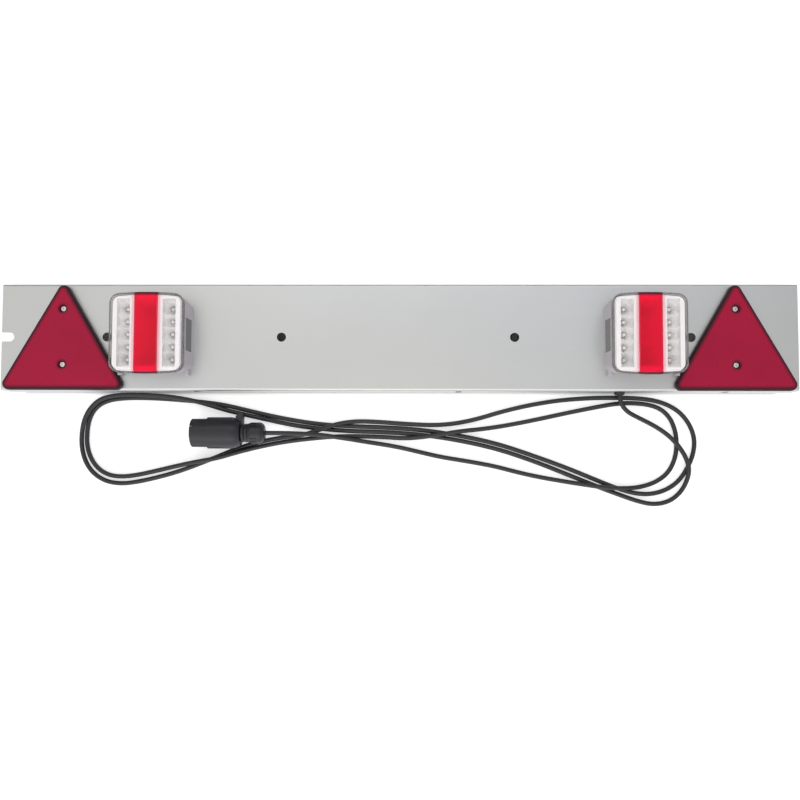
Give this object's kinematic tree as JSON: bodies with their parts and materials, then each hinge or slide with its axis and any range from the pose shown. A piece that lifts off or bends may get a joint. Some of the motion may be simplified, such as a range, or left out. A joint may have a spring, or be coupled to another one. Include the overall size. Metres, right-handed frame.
{
  "type": "trailer lighting board",
  "caption": "Folded metal trailer lighting board with clear and red LED tail lamps, red warning triangles, fixing holes and a loose supply cable with a multi-pin plug.",
  "frame": {"origin": "middle of the board's footprint, on the floor under its flange edges", "axes": "+X along the board towards its right end, +Y up the board's face, +Z out of the lamp face"},
  "size_m": [1.04, 0.2901, 0.0741],
  "materials": {
    "panel": "satin",
    "housing": "satin",
    "seal": "matt",
    "circuit": "satin",
    "led": "gloss",
    "led_chip": "gloss",
    "reflector": "metallised",
    "clear_cover": "gloss",
    "red_cover": "gloss",
    "window": "gloss",
    "zinc": "zinc plated",
    "black_rubber": "matt",
    "triangle_rim": "satin",
    "triangle_red": "gloss",
    "cable_sheath": "satin",
    "plug_plastic": "satin",
    "brass": "bright"
  },
  "bodies": {
    "root": {"board_panel": "panel", "left_lamp_housing": "housing", "left_lamp_seal": "seal", "left_circuit_board": "circuit", "left_signal_leds": "led", "left_tail_leds": "led_chip", "left_plate_leds": "led_chip", "left_reflector_insert": "reflector", "left_clear_lens": "clear_cover", "left_red_lens": "red_cover", "left_plate_window": "window", "left_lamp_studs": "zinc", "left_lamp_washers": "zinc", "left_lamp_nuts": "zinc", "left_lamp_grommet": "black_rubber", "left_triangle_holder": "triangle_rim", "left_triangle_lens": "triangle_red", "left_triangle_screws": "zinc", "left_triangle_washers": "zinc", "left_triangle_nuts": "zinc", "right_lamp_housing": "housing", "right_lamp_seal": "seal", "right_circuit_board": "circuit", "right_signal_leds": "led", "right_tail_leds": "led_chip", "right_plate_leds": "led_chip", "right_reflector_insert": "reflector", "right_clear_lens": "clear_cover", "right_red_lens": "red_cover", "right_plate_window": "window", "right_lamp_studs": "zinc", "right_lamp_washers": "zinc", "right_lamp_nuts": "zinc", "right_lamp_grommet": "black_rubber", "right_triangle_holder": "triangle_rim", "right_triangle_lens": "triangle_red", "right_triangle_screws": "zinc", "right_triangle_washers": "zinc", "right_triangle_nuts": "zinc", "cable_gland": "black_rubber", "supply_cable": "cable_sheath", "plug_shell": "plug_plastic", "plug_insert": "plug_plastic", "plug_pins": "brass", "plug_gland_nut": "plug_plastic"}
  },
  "joints": []
}
